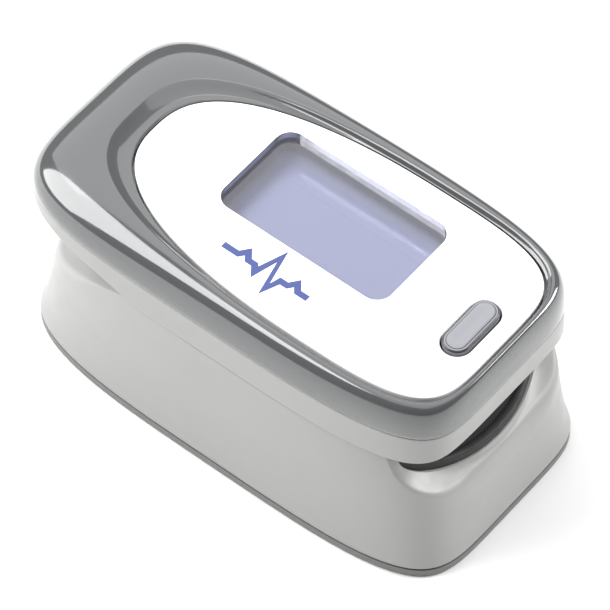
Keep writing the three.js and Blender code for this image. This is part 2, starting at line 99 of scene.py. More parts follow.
RIM_HALF, RIM_DEPTH, RIM_Y, RIM_BOW = 12.3, 6.45, -27.75, 0.03  # inner edge of the mouth
ARCH_ACROSS, ARCH_DEEP = 0.7, 0.62  # powers that square the finger channel's section
SCREEN_LINE_X, SCREEN_LINE_HALF = 5.6, 0.05
SURROUND_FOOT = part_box("display_screen")[1].z / MM
CUT_LOW, CUT_HIGH = 20, 32  # cuts through the cover reach well past it


# ---- curves ----
def hermite(t, span, start, end, start_slope, end_slope):
    """Cubic curve from start to end, with t from 0 to 1 over the span."""
    return ((2 * t**3 - 3 * t**2 + 1) * start + (t**3 - 2 * t**2 + t) * span * start_slope
            + (3 * t**2 - 2 * t**3) * end + (t**3 - t**2) * span * end_slope)


def smooth(x, xs, ys):
    """Smooth curve through the points (xs, ys), level outside them."""
    xs, ys = np.asarray(xs, float), np.asarray(ys, float)
    slopes = np.gradient(ys, xs)
    slopes[0] = slopes[-1] = 0 if len(xs) > 2 else slopes[0]
    x = np.clip(np.asarray(x, float), xs[0], xs[-1])
    i = np.clip(np.searchsorted(xs, x) - 1, 0, len(xs) - 2)
    span = xs[i + 1] - xs[i]
    return hermite((x - xs[i]) / span, span, ys[i], ys[i + 1], slopes[i], slopes[i + 1])


def ease(x, low, high):
    """0 below low, 1 above high, smooth between."""
    t = np.clip((x - low) / (high - low), 0, 1)
    return t * t * (3 - 2 * t)


def reach(shape, cos, sin):
    """Distance from the hub (0, HUB_Y) to an outline along each direction."""
    low, high = np.zeros(len(cos)), np.full(len(cos), 60.0)
    for _ in range(40):
        r = (low + high) / 2
        y = HUB_Y + r * sin - shape["mid"]
        rear = y >= 0
        span = np.where(rear, shape["rear"] - shape["mid"], shape["mid"] - shape["front"])
        across = np.where(rear, shape["x"][1], shape["x"][0])
        along = np.where(rear, shape["y"][1], shape["y"][0])
        outside = np.abs(r * cos / shape["half"]) ** across + np.abs(y / span) ** along > 1
        low, high = np.where(outside, low, r), np.where(outside, r, high)
    return low


def even_directions(count):
    """Unit directions from the hub that are evenly spaced along the parting outline."""
    turn = np.linspace(0, 2 * math.pi, 4001)
    r = reach(PARTING, np.cos(turn), np.sin(turn))
    x, y = r * np.cos(turn), r * np.sin(turn)
    walked = np.concatenate([[0], np.cumsum(np.hypot(np.diff(x), np.diff(y)))])
    angle = np.interp(np.arange(count) / count * walked[-1], walked, turn)
    return np.cos(angle), np.sin(angle)


COS, SIN = even_directions(COLUMNS)


def inset(shape, d):
    """The outline moved inward by d on every side."""
    return {**shape, "half": shape["half"] - d, "front": shape["front"] + d, "rear": shape["rear"] - d}


def radii(shape):
    """Distance from the hub to the outline along every column's direction."""
    return reach(shape, COS, SIN)


def ring(radius, z):
    """Points at a radius from the hub along every direction. z is one height or one for each."""
    z = np.broadcast_to(np.asarray(z, float), COS.shape)
    return np.stack([radius * COS, HUB_Y + radius * SIN, z], 1)


def rounded_rect(x, y, width, length, corner, grow=0.0, steps=10):
    """Outline of a rectangle with round corners, wider by grow on every side, anticlockwise."""
    w, h, r = width / 2 + grow, length / 2 + grow, corner + grow
    turn = np.linspace(0, math.pi / 2, steps)
    corners = []
    for k, (sx, sy) in enumerate([(1, 1), (-1, 1), (-1, -1), (1, -1)]):
        angle = turn + k * math.pi / 2
        centre = np.array([x + sx * (w - r), y + sy * (h - r)])
        corners.append(centre + r * np.stack([np.cos(angle), np.sin(angle)], 1))
    return np.concatenate(corners)


# ---- mesh helpers ----
def add_mesh(name, points, faces):
    """New object from points in millimetres, with its doubles merged and its faces turned outward."""
    mesh = bpy.data.meshes.new(name)
    mesh.from_pydata((np.asarray(points) * MM).tolist(), [], faces)
    piece = bpy.data.objects.new(name, mesh)
    bpy.context.scene.collection.objects.link(piece)
    tidy = bmesh.new()
    tidy.from_mesh(mesh)
    bmesh.ops.remove_doubles(tidy, verts=tidy.verts, dist=1e-8)
    bmesh.ops.recalc_face_normals(tidy, faces=tidy.faces)
    tidy.to_mesh(mesh)
    tidy.free()
    return piece


def loft(name, rings, closed=False, folded=False):
    """Closed body through rings of equal count.

    The ends are capped by fans, or by rungs where every ring is a strip that runs out and back (folded).
    With closed, the last ring joins the first instead.
    """
    count, levels = len(rings[0]), len(rings)
    points = np.concatenate(rings)
    faces = []
    for level in range(levels if closed else levels - 1):
        a, b = level * count, (level + 1) % levels * count
        for k in range(count):
            n = (k + 1) % count
            faces.append((a + k, a + n, b + n, b + k))
    ends = [0, (levels - 1) * count]
    if folded:
        faces += [(first + k, first + k + 1, first + count - 2 - k, first + count - 1 - k)
                  for first in ends for k in range(count // 2 - 1)]
    elif not closed:
        points = np.concatenate([points, [rings[0].mean(0), rings[-1].mean(0)]])
        for end, first in enumerate(ends):
            middle = levels * count + end
            faces += [(middle, first + k, first + (k + 1) % count) for k in range(count)]
    return add_mesh(name, points, faces)


def level_ring(outline, z):
    """The points of a flat outline at one height."""
    return np.column_stack([outline, np.full(len(outline), float(z))])


def stack(name, layers, closed=False, folded=False):
    """Body through flat outlines: layers is a list of (outline points, z)."""
    return loft(name, [level_ring(outline, z) for outline, z in layers], closed, folded)


def prism(outline, low, high):
    """Straight upright body that cuts an outline out of a shell."""
    return stack("cut", [(outline, low), (outline, high)])


def block(name, x0, x1, y0, y1, z0, z1, corner=0.3, edge=0.0):
    """Box with round upright corners and, with edge, chamfered top and bottom edges."""
    def outline(d):
        return rounded_rect((x0 + x1) / 2, (y0 + y1) / 2, x1 - x0, y1 - y0, corner, grow=-d, steps=6)

    if not edge:
        return stack(name, [(outline(0), z0), (outline(0), z1)])
    return stack(name, [(outline(edge), z0), (outline(0), z0 + edge), (outline(0), z1 - edge),
                        (outline(edge), z1)])


def lathe(name, profile, origin, axis="z", steps=48):
    """Body turned from (radius, height) points round an axis through origin."""
    turn = np.linspace(0, 2 * math.pi, steps, endpoint=False)
    order = {"z": (0, 1, 2), "x": (2, 0, 1), "y": (1, 2, 0)}[axis]
    rings = []
    for radius, height in profile:
        local = np.stack([radius * np.cos(turn), radius * np.sin(turn), np.full(steps, float(height))], 1)
        rings.append(local[:, order] + np.asarray(origin))
    return loft(name, rings)


def bore(radius, low, high, x, y, steps=24):
    """Upright round body that cuts a hole."""
    return lathe("cut", [(radius, low), (radius, high)], (x, y, 0), "z", steps)


def pin_bore(half, steps):
    """Body that cuts the hinge pin's hole, half to each side of the middle."""
    return lathe("cut", [(PIN_BORE, -half), (PIN_BORE, half)], (0, PIN_Y, PIN_Z), "x", steps)


def tube(name, path, radius, sides=14, taper=3):
    """Round wire along a path of points, with rounded ends."""
    path = np.asarray(path, float)
    ahead = np.gradient(path, axis=0)
    ahead /= np.linalg.norm(ahead, axis=1)[:, None]
    side = np.cross(ahead[0], [0.3, 0.5, 0.8])
    turn = np.linspace(0, 2 * math.pi, sides, endpoint=False)
    rings = []
    for k, (point, forward) in enumerate(zip(path, ahead)):
        side = side - side.dot(forward) * forward
        side /= np.linalg.norm(side)
        other = np.cross(forward, side)
        circle = np.outer(np.cos(turn), side) + np.outer(np.sin(turn), other)
        rings.append(point + radius * circle)
        for end, sign in ((0, -1), (len(path) - 1, 1)):
            if k == end:
                for step in range(1, taper):
                    angle = step / taper * math.pi / 2
                    centre = point + sign * radius * math.sin(angle) * forward
                    rings.insert(0 if sign < 0 else len(rings), centre + radius * math.cos(angle) * circle)
    return loft(name, rings)


def spline(points, count):
    """Even points along a smooth curve through the given points."""
    points = np.asarray(points, float)
    knots = np.concatenate([[0], np.cumsum(np.linalg.norm(np.diff(points, axis=0), axis=1) ** 0.5)])
    at = np.linspace(0, knots[-1], count)
    slopes = np.gradient(points, knots, axis=0)
    i = np.clip(np.searchsorted(knots, at) - 1, 0, len(knots) - 2)
    span = (knots[i + 1] - knots[i])[:, None]
    t = (at - knots[i])[:, None] / span
    return hermite(t, span, points[i], points[i + 1], slopes[i], slopes[i + 1])


def combine(target, others, operation="DIFFERENCE"):
    """Cuts the other bodies out of target, or joins them to it, and removes them."""
    for other in others:
        modifier = target.modifiers.new("combine", "BOOLEAN")
        modifier.operation = operation
        modifier.solver = "MANIFOLD"
        modifier.object = other
    bpy.context.view_layer.update()
    result = bpy.data.meshes.new_from_object(target.evaluated_get(bpy.context.evaluated_depsgraph_get()))
    target.modifiers.clear()
    result.materials.clear()
    old = target.data
    target.data = result
    bpy.data.meshes.remove(old)
    for other in others:
        bpy.data.meshes.remove(other.data)


def shade(piece, angle=32, weighted=True):
    """Smooth shading with sharp edges kept; flat faces stay flat beside their rounded edges."""
    piece.data.polygons.foreach_set("use_smooth", [True] * len(piece.data.polygons))
    piece.data.set_sharp_from_angle(angle=math.radians(angle))
    if weighted:
        modifier = piece.modifiers.new("flat_faces", "WEIGHTED_NORMAL")
        modifier.keep_sharp = True


# ---- materials ----
def node_material(name):
    material = bpy.data.materials.new(name)
    material.use_nodes = True
    nodes, links = material.node_tree.nodes, material.node_tree.links
    return material, nodes, links, nodes["Principled BSDF"]


def noise(nodes, links, scale, detail=3.0, roughness=0.55):
    """Noise through the piece's own space. scale is in features per millimetre."""
    place = nodes.new("ShaderNodeTexCoord")
    texture = nodes.new("ShaderNodeTexNoise")
    texture.inputs["Scale"].default_value = scale / MM
    texture.inputs["Detail"].default_value = detail
    texture.inputs["Roughness"].default_value = roughness
    links.new(place.outputs["Object"], texture.inputs["Vector"])
    return texture.outputs["Fac"]


def spread(nodes, links, source, low, high):
    """source's middle range spread from low to high."""
    remap = nodes.new("ShaderNodeMapRange")
    remap.inputs["From Min"].default_value = 0.3
    remap.inputs["From Max"].default_value = 0.7
    remap.inputs["To Min"].default_value = low
    remap.inputs["To Max"].default_value = high
    links.new(source, remap.inputs["Value"])
    return remap.outputs["Result"]


def tint(nodes, links, factor, first, second):
    """Colour that goes from first to second with the factor."""
    mix = nodes.new("ShaderNodeMix")
    mix.data_type = "RGBA"
    mix.inputs["A"].default_value = (*first, 1)
    mix.inputs["B"].default_value = (*second, 1)
    links.new(factor, mix.inputs["Factor"])
    return mix.outputs["Result"]


def moulded(name, colour, roughness, grain=0.0, grain_scale=6.0, mottle=0.04, coat=0.0, specular=0.5,
            spread_rough=0.05):
    """Moulded plastic or rubber: slight colour mottling, uneven gloss and a fine moulded grain."""
    material, nodes, links, shader = node_material(name)
    colour = np.array(colour)
    broad = noise(nodes, links, 0.12, detail=4)
    dark, light = (tuple(np.clip(colour * (1 + change), 0, 1)) for change in (-mottle, mottle))
    links.new(tint(nodes, links, broad, dark, light), shader.inputs["Base Color"])
    gloss = noise(nodes, links, 0.5)
    links.new(spread(nodes, links, gloss, roughness - spread_rough, roughness + spread_rough),
              shader.inputs["Roughness"])
    shader.inputs["Specular IOR Level"].default_value = specular
    shader.inputs["Coat Weight"].default_value = coat
    shader.inputs["Coat Roughness"].default_value = 0.03
    if grain:
        bump = nodes.new("ShaderNodeBump")
        bump.inputs["Strength"].default_value = 0.5
        bump.inputs["Distance"].default_value = grain * MM
        links.new(noise(nodes, links, grain_scale), bump.inputs["Height"])
        links.new(bump.outputs["Normal"], shader.inputs["Normal"])
    return material


def metal(name, colour, roughness, streak=0.04):
    """Drawn or plated metal with fine uneven gloss."""
    material, nodes, links, shader = node_material(name)
    colour = np.array(colour)
    broad = noise(nodes, links, 0.8, detail=5)
    links.new(tint(nodes, links, broad, tuple(colour * 0.86), tuple(np.clip(colour * 1.08, 0, 1))),
              shader.inputs["Base Color"])
    links.new(spread(nodes, links, noise(nodes, links, 3.0), roughness - streak, roughness + streak),
              shader.inputs["Roughness"])
    shader.inputs["Metallic"].default_value = 1.0
    return material


def clear_plastic(name):
    """Clear lens: light and sight go through, and it mirrors more at a slant."""
    material, nodes, links, _ = node_material(name)
    nodes.remove(nodes["Principled BSDF"])
    glossy = nodes.new("ShaderNodeBsdfGlossy")
    glossy.inputs["Roughness"].default_value = 0.02
    through = nodes.new("ShaderNodeBsdfTransparent")
    links.new(tint(nodes, links, noise(nodes, links, 0.3), (0.955, 0.96, 0.985), (0.97, 0.975, 0.99)),
              through.inputs["Color"])
    fresnel = nodes.new("ShaderNodeFresnel")
    fresnel.inputs["IOR"].default_value = 1.45
    mix = nodes.new("ShaderNodeMixShader")
    links.new(fresnel.outputs["Fac"], mix.inputs[0])
    links.new(through.outputs[0], mix.inputs[1])
    links.new(glossy.outputs[0], mix.inputs[2])
    links.new(mix.outputs[0], nodes["Material Output"].inputs["Surface"])
    return material


def screen_glass(name):
    """Unlit liquid crystal screen: lavender grey, with a faint line along it where two layers meet."""
    material, nodes, links, shader = node_material(name)
    place = nodes.new("ShaderNodeTexCoord")
    apart = nodes.new("ShaderNodeSeparateXYZ")
    links.new(place.outputs["Object"], apart.inputs["Vector"])
    away = nodes.new("ShaderNodeMath")
    away.operation = "COMPARE"
    away.inputs[1].default_value = SCREEN_LINE_X * MM
    away.inputs[2].default_value = SCREEN_LINE_HALF * MM
    links.new(apart.outputs["X"], away.inputs[0])
    ground = tint(nodes, links, noise(nodes, links, 0.15), (0.360, 0.380, 0.575), (0.375, 0.395, 0.595))
    line = nodes.new("ShaderNodeMix")
    line.data_type = "RGBA"
    line.inputs["B"].default_value = (0.33, 0.34, 0.50, 1)
    links.new(away.outputs[0], line.inputs["Factor"])
    links.new(ground, line.inputs["A"])
    links.new(line.outputs["Result"], shader.inputs["Base Color"])
    links.new(spread(nodes, links, noise(nodes, links, 1.0), 0.14, 0.2), shader.inputs["Roughness"])
    return material


def surround_with_painted_shade_edge(name):
    """Frame round the screen: warm grey at its top, with the screen's lavender painted up its foot as a
    painted soft edge of the shade in the recess.
    """
    material, nodes, links, shader = node_material(name)
    place = nodes.new("ShaderNodeTexCoord")
    apart = nodes.new("ShaderNodeSeparateXYZ")
    links.new(place.outputs["Object"], apart.inputs["Vector"])
    painted_edge = nodes.new("ShaderNodeMapRange")
    painted_edge.interpolation_type = "SMOOTHSTEP"
    painted_edge.inputs["From Min"].default_value = (SURROUND_FOOT - 0.05) * MM
    painted_edge.inputs["From Max"].default_value = (SURROUND_FOOT + 1.0) * MM
    links.new(apart.outputs["Z"], painted_edge.inputs["Value"])
    # Painted shade edge: lavender at the wall's foot turns to grey a millimetre up, softening the edge of the
    # shade band on the screen.
    links.new(tint(nodes, links, painted_edge.outputs["Result"], (0.34, 0.36, 0.50), (0.235, 0.23, 0.262)),
              shader.inputs["Base Color"])
    links.new(spread(nodes, links, noise(nodes, links, 2.0), 0.5, 0.6), shader.inputs["Roughness"])
    shader.inputs["Specular IOR Level"].default_value = 0.15
    return material


look = {
    "cover": moulded("cover_gloss", (0.072, 0.075, 0.077), 0.12, coat=0.9, mottle=0.02, specular=0.55,
                     spread_rough=0.03),
    "shell": moulded("shell_satin", (0.318, 0.317, 0.311), 0.36, grain=0.006, grain_scale=5.0, mottle=0.015),
    "panel": moulded("panel_gloss", (0.900, 0.895, 0.915), 0.09, coat=0.3, mottle=0.005, spread_rough=0.02),
    "lens": clear_plastic("window_clear"),
    # The surround's lavender foot is a painted soft shade edge; its grey top is the wall's own colour.
    "frame": surround_with_painted_shade_edge("surround_grey_painted_shade_edge"),
    "screen": screen_glass("screen_lavender"),
    "button": moulded("button_gloss", (0.215, 0.220, 0.240), 0.16, coat=0.4, mottle=0.02),
    # Near-black for the button's rounded rim: a painted dark reflection.
    "rim": moulded("button_rim_painted_reflection", (0.045, 0.043, 0.048), 0.3, mottle=0.05),
    "strip": moulded("base_strip_grey", (0.145, 0.145, 0.140), 0.42, grain=0.012, grain_scale=4.0,
                     mottle=0.05),
    "rubber": moulded("pad_rubber", (0.0145, 0.0145, 0.0155), 0.62, grain=0.03, grain_scale=5.0, mottle=0.12),
    "board": moulded("board_green", (0.020, 0.105, 0.052), 0.35, grain=0.01, grain_scale=2.0, mottle=0.2),
    "steel": metal("plated_steel", (0.56, 0.57, 0.585), 0.26),
    "gold": metal("contact_gold", (0.72, 0.55, 0.27), 0.3),
    "jacket": moulded("cell_jacket", (0.035, 0.13, 0.30), 0.22, mottle=0.04),
    "band": moulded("cell_band", (0.55, 0.57, 0.6), 0.25, mottle=0.04),
    "ribbon": moulded("ribbon_amber", (0.44, 0.20, 0.045), 0.3, mottle=0.12),
    "dark": moulded("dark_plastic", (0.028, 0.028, 0.031), 0.4, mottle=0.1),
    "mark": moulded("print_blue", (0.045, 0.066, 0.215), 0.3, mottle=0.03),
}


def finish_piece(piece, body, finish, stands_for=(), angle=32, weighted=True):
    """Shading, material, body and the CAD nodes that a new piece stands for."""
    shade(piece, angle, weighted)
    if not piece.data.materials:
        piece.data.materials.append(look[finish])
    if body:
        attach(piece, body)
    if stands_for:
        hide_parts(*stands_for)


def cad_corners(node):
    """Lowest and highest corner of a CAD node, in millimetres."""
    return [np.array(corner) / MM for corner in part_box(node)]


# ---- finger channel, shared by the shells and their pads ----
def arch(y, half, depth, top, sign, bow, steps=40):
    """Section of a trough: half a superellipse that hangs from z = top (-1) or stands on it (+1)."""
    turn = np.linspace(0, math.pi, steps + 1)
    x = -half * np.sign(np.cos(turn)) * np.abs(np.cos(turn)) ** ARCH_ACROSS
    z = top + sign * depth * np.sin(turn).clip(0) ** ARCH_DEEP
    return np.stack([x, y + bow * x * x, z], 1)


LOWER_CHANNEL = {"y": [-27.6, -24.6, -21.0, -14.0, CHANNEL_END], "half": [12.3, 12.6, 12.8, 12.9, 12.9],
                 "depth": [6.6, 6.0, 5.7, 5.6, 5.6], "bow": [0.03, 0.02, 0.01, 0, 0],
                 "top": 19.05, "sign": -1}
UPPER_CHANNEL = {"y": [-27.2, -24.0, -20.5, -14.0, CHANNEL_END], "half": [12.0, 12.3, 12.7, 12.9, 12.9],
                 "depth": [1.9, 2.0, 2.1, 2.15, 2.15], "bow": [0.03, 0.02, 0.01, 0, 0],
                 "top": 19.35, "sign": 1}


def channel_section(channel, y, shrink=0.0):
    """The channel's section at y, smaller by shrink on every side."""
    values = {key: np.interp(y, channel["y"], channel[key]) for key in ("half", "depth", "bow")}
    return arch(y, values["half"] - shrink, values["depth"] - shrink, channel["top"], channel["sign"],
                values["bow"])


def channel_cut(channel, front, lift):
    """Body that cuts the channel out of a shell, carried on to the front and past the seam."""
    rings = []
    for y in [front, *np.linspace(channel["y"][0], channel["y"][-1], 24)]:
        section = channel_section(channel, y)
        up = np.array([0, 0, -channel["sign"] * lift])
        rings.append(np.concatenate([[section[0] + up], section, [section[-1] + up]]))
    return loft("cut", rings)


def pad(name, channel, thick):
    """Rubber liner: a bent band with a raised lip round its front edge and shallow cross ribs."""
    front, rear = channel["y"][0] - 0.12, channel["y"][-1] - GAP
    clearance, edge_step, band = 0.03, 0.1, -0.18
    rib_height, rib_pitch = 0.07, 3.2
    # Places along the pad and how far its face stands there, against the lip.
    course = [(front, -0.28), (front + 0.1, -0.08), (front + 0.25, 0.0), (front + 0.7, 0.0),
              (front + 1.0, -0.12), (front + 1.15, band)]
    course += [(y, band) for y in np.linspace(front + 1.8, rear - 0.4, 44)]
    course += [(rear - 0.1, -0.22), (rear, -0.4)]
    rings = []
    for y, change in course:
        ribbed = front + 2 < y < rear - 2
        rib = rib_height * max(0.0, math.cos((y - front) * 2 * math.pi / rib_pitch)) ** 3 if ribbed else 0
        outer = channel_section(channel, y, clearance + (edge_step if y in (front, rear) else 0))
        inner = channel_section(channel, y, GAP + thick + change + rib)
        rings.append(np.concatenate([outer, inner[::-1]]))
    return loft(name, rings, folded=True)


# ---- lower half ----
R_BASE, R_SEAM = radii(BASE), radii(SEAM)
R_PARTING, R_CREST, R_PANEL = radii(PARTING), radii(CREST), radii(PANEL)


def base_blend(z):
    """Outline radius of the lower shell at a height, from the flared base up to the seam."""
    share = smooth(z, [STRIP_TOP, 3.5, 8, 13.5, 19.05], [0, 0.2, 0.47, 0.7, 1])
    return R_BASE + (R_SEAM - R_BASE) * share


def top_of_lower(y):
    """Height of the lower shell's top: the seam, and the pinch notch behind it."""
    return smooth(y, *LOWER_NOTCH)


def crease_height():
    """Height of the lower shell's upper crease on every column: the seam, the rear notch or the scoop."""
    z = np.full(COLUMNS, SEAM_LOW)
    for _ in range(30):
        z = top_of_lower(HUB_Y + base_blend(z) * SIN)
    low, high = np.full(COLUMNS, 8.0), np.full(COLUMNS, SEAM_LOW)
    for _ in range(40):
        middle = (low + high) / 2
        x = np.abs(base_blend(middle) * COS)
        below = (x / SCOOP_HALF) ** 2 + ((SEAM_LOW - middle).clip(0) / SCOOP_DEPTH) ** SCOOP_POWER > 1
        low, high = np.where(below, middle, low), np.where(below, high, middle)
    front = SIN < 0
    return np.where(front, np.minimum(low, z), z)


def lower_shell():
    """Flared shell with the scooped mouth, hollowed for the cells, the hinge and the detector."""
    shelf_width, foot_z = 1.95, SHELL_BOTTOM + 0.18
    crease = crease_height()
    edge = ring(base_blend(crease), crease)
    x, y = edge[:, 0], edge[:, 1]
    in_scoop = (SIN < 0) & (np.abs(x) < SCOOP_HALF - 1e-6)
    share = np.abs(x / SCOOP_HALF).clip(0, 1)
    # Inner end of the scoop's strip, or a step inward on the seam face and the notch.
    rim = np.stack([RIM_HALF * x / SCOOP_HALF, RIM_Y + RIM_BOW * (RIM_HALF * share) ** 2,
                    SEAM_LOW - RIM_DEPTH * (1 - share ** (2 / ARCH_ACROSS)).clip(0) ** (ARCH_DEEP / 2)], 1)
    # The step goes straight across at the front and turns towards the hub at the rear.
    turn = ease(y, 2, 18)[:, None]
    inward = np.stack([-np.sign(x), np.zeros(COLUMNS)], 1) * (1 - turn) - np.stack([COS, SIN], 1) * turn
    inward /= np.linalg.norm(inward, axis=1)[:, None]
    step = edge[:, :2] + shelf_width * inward
    shelf = np.column_stack([step, top_of_lower(step[:, 1])])
    inner = np.where(in_scoop[:, None], rim, shelf)
    # Softness of the crease: wide in the middle of the scoop and at the rear, tight along the seam.
    front_soft = 0.3 + 1.5 * (1 - share**1.5)
    rear_soft = 0.28 + 1.2 * ease(y, 14, 27)
    soft = np.where(in_scoop, front_soft, rear_soft)
    strip = inner - edge
    strip_length = np.linalg.norm(strip, axis=1)
    along = strip / strip_length[:, None]
    soft = np.minimum(soft, 0.5 * strip_length)
    # From the bottom up: underside, base edge, wall, crease, strip, then the top face.
    rings = [ring(R_BASE * share_in, SHELL_BOTTOM) for share_in in (0.1, 0.5, 0.85)]
    rings += [ring(R_BASE - 0.2, SHELL_BOTTOM), ring(R_BASE - 0.06, SHELL_BOTTOM + 0.04),
              ring(R_BASE, foot_z)]
    start = crease - soft
    for level in np.linspace(0.02, 1, 30):
        z = foot_z + (start - foot_z) * level
        rings.append(ring(base_blend(z), z))
    foot = rings[-1]
    head = edge + along * soft[:, None]
    for t in np.linspace(0, 1, 10)[1:]:
        rings.append((1 - t) ** 2 * foot + 2 * t * (1 - t) * edge + t * t * head)
    hollow = np.where(in_scoop, 0.12 * (1 - share**2), 0)
    into = np.stack([-COS * 0.6, -SIN * 0.6, np.full(COLUMNS, -0.8)], 1)
    for t in np.linspace(0, 1, 9)[1:]:
        point = head + (inner - head) * t
        point = point + into * (hollow * math.sin(math.pi * t))[:, None]
        point[:, 2] = np.where(in_scoop, point[:, 2], top_of_lower(point[:, 1]))
        rings.append(point)
    last = rings[-1]
    hub = np.array([0, HUB_Y])
    for t in (0.06, 0.14, 0.26, 0.4, 0.55, 0.7, 0.85, 0.97):
        plan = last[:, :2] + (hub - last[:, :2]) * t
        z = top_of_lower(plan[:, 1])
        rise = ease(np.full(COLUMNS, t), 0.0, 0.14)
        rings.append(np.column_stack([plan, np.where(in_scoop, last[:, 2] + (z - last[:, 2]) * rise, z)]))
    body = loft("lower_shell", rings)
    cells_bay = block("cut", -11.4, 11.4, -22.8, 22.9, -1, 12.1, corner=1.0)
    contacts_bay = block("cut", -9.8, 9.8, -26.5, -22.0, -1, 10.3, corner=1.0)
    hinge_room = block("cut", -11.3, 11.3, CHANNEL_END + 1.3, 14.4, 13.3, 24, corner=0.6)
    detector_seat = block("cut", -4.0, 4.0, SENSOR_Y - 3.6, SENSOR_Y + 3.6, 12.75, 15, corner=0.4)
    ribbon_way = block("cut", -2.4, 2.4, SENSOR_Y, CHANNEL_END + 2, 12.75, 15, corner=0.2)
    cuts = [channel_cut(LOWER_CHANNEL, -36.0, 5.0), cells_bay, contacts_bay, hinge_room, detector_seat,
            ribbon_way, pin_bore(13.4, 32)]
    cuts += [bore(SCREW_BORE, 0, 7.4, sx, sy) for sx, sy, _ in LOWER_SCREWS]
    combine(body, cuts)
    finish_piece(body, "lower", "shell", ["lower_housing"], angle=38)


def base_pieces():
    """The dark base strip with the battery door that slides out of it to the rear."""
    def plinth(name, top):
        rings = [ring(R_BASE * share, 0) for share in (0.3, 0.8)]
        rings += [ring(R_BASE - d, z) for d, z in ((0.4, 0), (0.22, 0.03), (0.08, 0.12), (0.0, 0.3))]
        rings += [ring(R_BASE - d, top - z) for d, z in ((0.0, 0.12), (0.03, 0.03), (0.12, 0.0))]
        rings += [ring(R_BASE * share, top) for share in (0.8, 0.3)]
        return loft(name, rings)

    cover = plinth("base_cover", STRIP_TOP)
    past_rear = 40
    play = 0.12
    cuts = [block("cut", -DOOR_HALF - play, DOOR_HALF + play, DOOR_FRONT - 0.15, past_rear, -1, 3,
                  corner=1.2)]
    for x, y, _ in LOWER_SCREWS:
        cuts.append(lathe("cut", [(1.75, -1), (1.75, 0.0), (1.62, 0.12), (1.62, 0.85)], (x, y, 0), "z", 36))
        cuts.append(bore(SCREW_BORE, -1, 3, x, y))
    combine(cover, cuts)
    finish_piece(cover, "lower", "strip", ["bottom_cover"])

    door = plinth("cell_door", DOOR_THICK)
    outline = block("keep", -DOOR_HALF, DOOR_HALF, DOOR_FRONT, past_rear, -1, 3, corner=1.1)
    combine(door, [outline], "INTERSECT")
    first_groove, groove_pitch = 16.35, 1.5
    groove_layers = [(0.16, -0.5), (0.16, 0.0), (0.0, 0.12), (-0.05, 0.42)]  # (grow, z)
    grooves = []
    for k in range(7):
        y = first_groove + groove_pitch * k
        grooves.append(stack("cut", [(rounded_rect(0, y, 10.0, 0.6, 0.29, grow=grow, steps=6), z)
                                     for grow, z in groove_layers]))
    # A plain arrow that shows which way the door slides.
    arrow = np.array([(-2.2, 10.2), (2.2, 10.2), (0, 13.6)])
    combine(door, [*grooves, prism(arrow, -0.5, 0.25)])
    finish_piece(door, "door", "strip", ["battery_door"])


def cells():
    """Two small cylinder cells, side by side and opposite ways round, with their contacts."""
    radius, half = 5.25, 22.25
    apart, middle, height = 5.55, -0.55, 6.75
    band_length = 9.5
    for way, name in ((-1, "left"), (1, "right")):
        jacket = [(0.01, -half), (radius - 0.9, -half), (radius - 0.45, -half + 0.05),
                  (radius - 0.1, -half + 0.3), (radius, -half + 0.7), (radius, half - 1.9),
                  (radius - 0.12, half - 1.5), (radius - 0.5, half - 1.2), (radius - 1.1, half - 1.1),
                  (0.01, half - 1.1)]
        button = [(0.01, half - 1.2), (1.9, half - 1.2), (1.9, half - 0.2), (1.75, half - 0.05), (0.01, half)]
        centre = (way * apart, middle, height)
        body = lathe(f"cell_{name}", [(r, way * y) for r, y in jacket], centre, "y", 64)
        combine(body, [lathe("cell_button", [(r, way * y) for r, y in button], centre, "y", 40)], "UNION")
        for finish in ("jacket", "band", "steel"):
            body.data.materials.append(look[finish])
        for face in body.data.polygons:
            y = (face.center.y / MM - middle) * way
            on_jacket = abs(face.normal.y) < 0.6 and 0.5 - half < y < half - 1.0
            face.material_index = (1 if y > half - band_length else 0) if on_jacket else 2
        finish_piece(body, "lower", "jacket", [f"battery_{name}"])


def contacts():
    """Spring contacts at the flat ends of the cells, plates at their button ends."""
    for end in ("front", "rear"):
        lo, hi = cad_corners(f"contact_plate_{end}")
        middle = (lo + hi) / 2
        rings = []
        for grow, y in ((-0.06, lo[1]), (0, lo[1] + 0.06), (0, hi[1] - 0.06), (-0.06, hi[1])):
            shape = rounded_rect(middle[0], middle[2], hi[0] - lo[0], hi[2] - lo[2], 0.8, grow=grow)
            rings.append(np.column_stack([shape[:, 0], np.full(len(shape), y), shape[:, 1]]))
        finish_piece(loft(f"plate_{end}", rings), "lower", "gold", [f"contact_plate_{end}"])
    wire, turns = 0.24, 3
    for end in ("front", "rear"):
        lo, hi = cad_corners(f"contact_spring_{end}")
        middle = (lo + hi) / 2
        turn = np.linspace(0, turns * 2 * math.pi, 150)
        share = turn / turn[-1]
        coil = ((hi[0] - lo[0]) / 2 - 0.25) * (1 - 0.5 * share)
        wide, narrow = (lo[1] + 0.25, hi[1] - 0.25) if end == "front" else (hi[1] - 0.25, lo[1] + 0.25)
        path = np.stack([middle[0] + coil * np.cos(turn), wide + (narrow - wide) * share,
                         middle[2] + coil * np.sin(turn)], 1)
        finish_piece(tube(f"coil_{end}", path, wire), "lower", "steel", [f"contact_spring_{end}"],
                     weighted=False)


